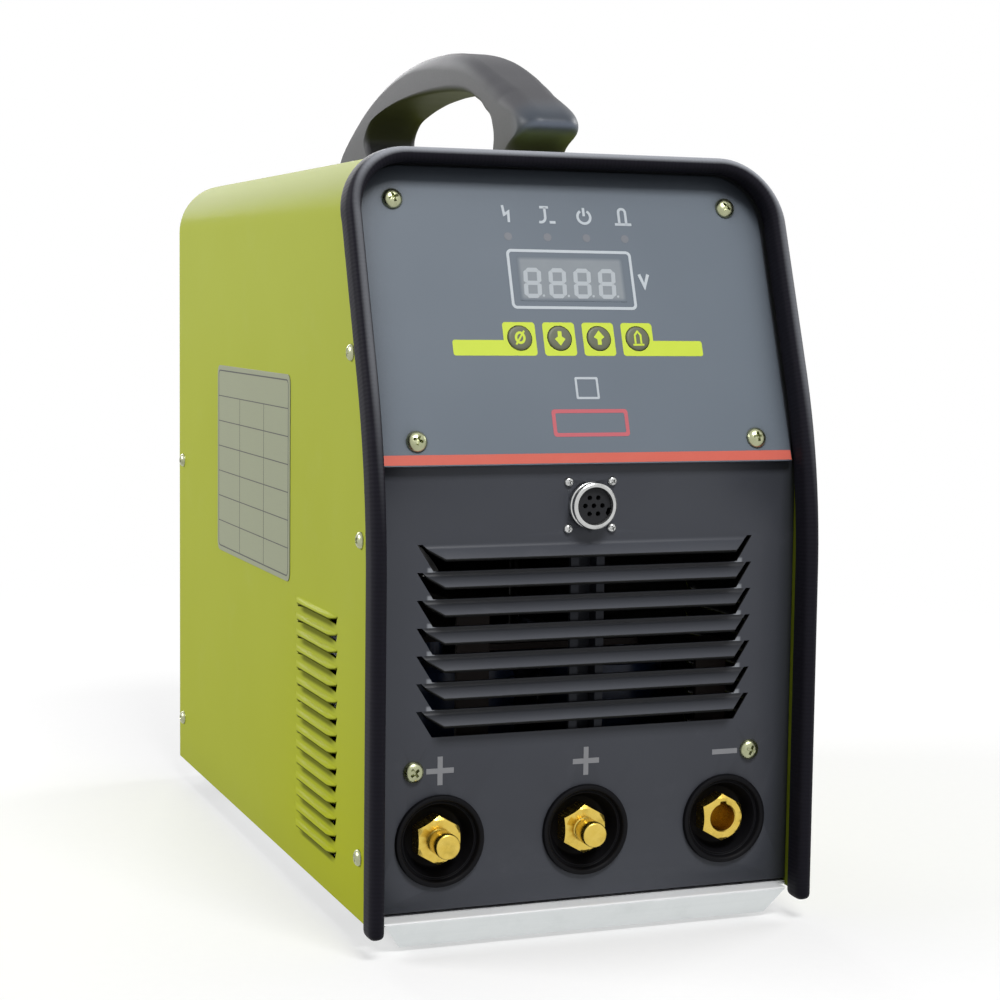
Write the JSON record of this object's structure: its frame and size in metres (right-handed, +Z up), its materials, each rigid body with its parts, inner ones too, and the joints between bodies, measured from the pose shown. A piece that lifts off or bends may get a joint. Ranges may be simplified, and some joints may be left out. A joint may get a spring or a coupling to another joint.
{
  "type": "stud welder",
  "caption": "Portable capacitor-discharge stud welder in an arched sheet-metal case with a leaning control panel, louvred front, brass output terminals and a carrying handle.",
  "frame": {"origin": "on the floor under the middle of the bounding box", "axes": "+X to the right seen from the front, +Y to the back, +Z up"},
  "size_m": [0.224, 0.426, 0.429],
  "materials": {
    "cover_paint": "satin powder coat",
    "trim_rubber": "semi-matt, fine ribs",
    "galvanised": "zinc-plated sheet",
    "panel_paint": "fine-textured powder coat",
    "control_plate": "anodised",
    "film": "printed polycarbonate",
    "key": "printed, domed",
    "window": "clear acrylic",
    "display": "unlit digits",
    "lamp": "clear lamp",
    "board": "circuit board",
    "zinc_screw": "bright zinc",
    "nickel": "nickel-plated",
    "black_plastic": "moulded",
    "brass": "turned",
    "copper": "bare copper bar",
    "resin_board": "phenolic board",
    "capacitor_sleeve": "shrink sleeve",
    "bare_aluminium": "extruded",
    "handle_plastic": "fine grain",
    "plate_silver": "printed foil",
    "foot_rubber": "moulded",
    "rocker_red": "moulded",
    "ferrite": "ferrite and taped winding"
  },
  "bodies": {
    "case": {"base_tray": "galvanised", "feet": "foot_rubber", "foot_screws": "zinc_screw", "cover": "cover_paint", "edge_trim": "trim_rubber", "cover_screws": "zinc_screw", "front_panel": "panel_paint", "louvre_stiffener": "panel_paint", "front_panel_screws": "zinc_screw", "control_panel": "control_plate", "keypad_overlay": "film", "control_panel_screws": "zinc_screw", "display_window": "window", "display_module": "display", "indicator_leds": "lamp", "control_board": "board", "key_switches": "black_plastic", "board_standoffs": "brass", "gun_socket_shell": "nickel", "gun_socket_insert": "black_plastic", "gun_socket_screws": "zinc_screw", "terminal_collar_1": "black_plastic", "terminal_collar_2": "black_plastic", "terminal_collar_3": "black_plastic", "positive_stud_1": "brass", "positive_stud_2": "brass", "positive_nut_1": "brass", "positive_nut_2": "brass", "negative_socket": "brass", "terminal_board": "resin_board", "terminal_back_nuts": "brass", "positive_busbar": "copper", "negative_busbar": "copper", "capacitor_bar": "copper", "capacitor_1": "capacitor_sleeve", "capacitor_2": "capacitor_sleeve", "capacitor_3": "capacitor_sleeve", "capacitor_4": "capacitor_sleeve", "capacitor_clamp": "galvanised", "thyristor_module": "black_plastic", "heatsink": "bare_aluminium", "charger_board": "board", "charger_posts": "brass", "transformer": "ferrite", "handle": "handle_plastic", "handle_bolts": "zinc_screw", "data_plate": "plate_silver", "rear_panel": "panel_paint", "fan_frame": "black_plastic", "fan_guard": "nickel", "fan_screws": "zinc_screw", "switch_body": "black_plastic", "cable_gland": "black_plastic"},
    "key_1": {"key_1": "key"},
    "key_2": {"key_2": "key"},
    "key_3": {"key_3": "key"},
    "key_4": {"key_4": "key"},
    "fan_rotor": {"fan_rotor": "black_plastic"},
    "switch_rocker": {"switch_rocker": "rocker_red"}
  },
  "joints": [
    {"name": "key_1_press", "type": "slide", "parent": "case", "child": "key_1", "axis": [0, 0.9426, -0.3338], "range_m": [0, 0.0005], "stiffness_N_per_m": 800, "springref_m": -0.0002},
    {"name": "key_2_press", "type": "slide", "parent": "case", "child": "key_2", "axis": [0, 0.9426, -0.3338], "range_m": [0, 0.0005], "stiffness_N_per_m": 800, "springref_m": -0.0002},
    {"name": "key_3_press", "type": "slide", "parent": "case", "child": "key_3", "axis": [0, 0.9426, -0.3338], "range_m": [0, 0.0005], "stiffness_N_per_m": 800, "springref_m": -0.0002},
    {"name": "key_4_press", "type": "slide", "parent": "case", "child": "key_4", "axis": [0, 0.9426, -0.3338], "range_m": [0, 0.0005], "stiffness_N_per_m": 800, "springref_m": -0.0002},
    {"name": "fan_spin", "type": "hinge", "parent": "case", "child": "fan_rotor", "pos_m": [0, 0.177, 0.1], "axis": [0, 1, 0], "continuous": true},
    {"name": "rocker_tip", "type": "hinge", "parent": "case", "child": "switch_rocker", "pos_m": [-0.055, 0.189, 0.27], "axis": [1, 0, 0], "range_deg": [-20, 0]}
  ]
}
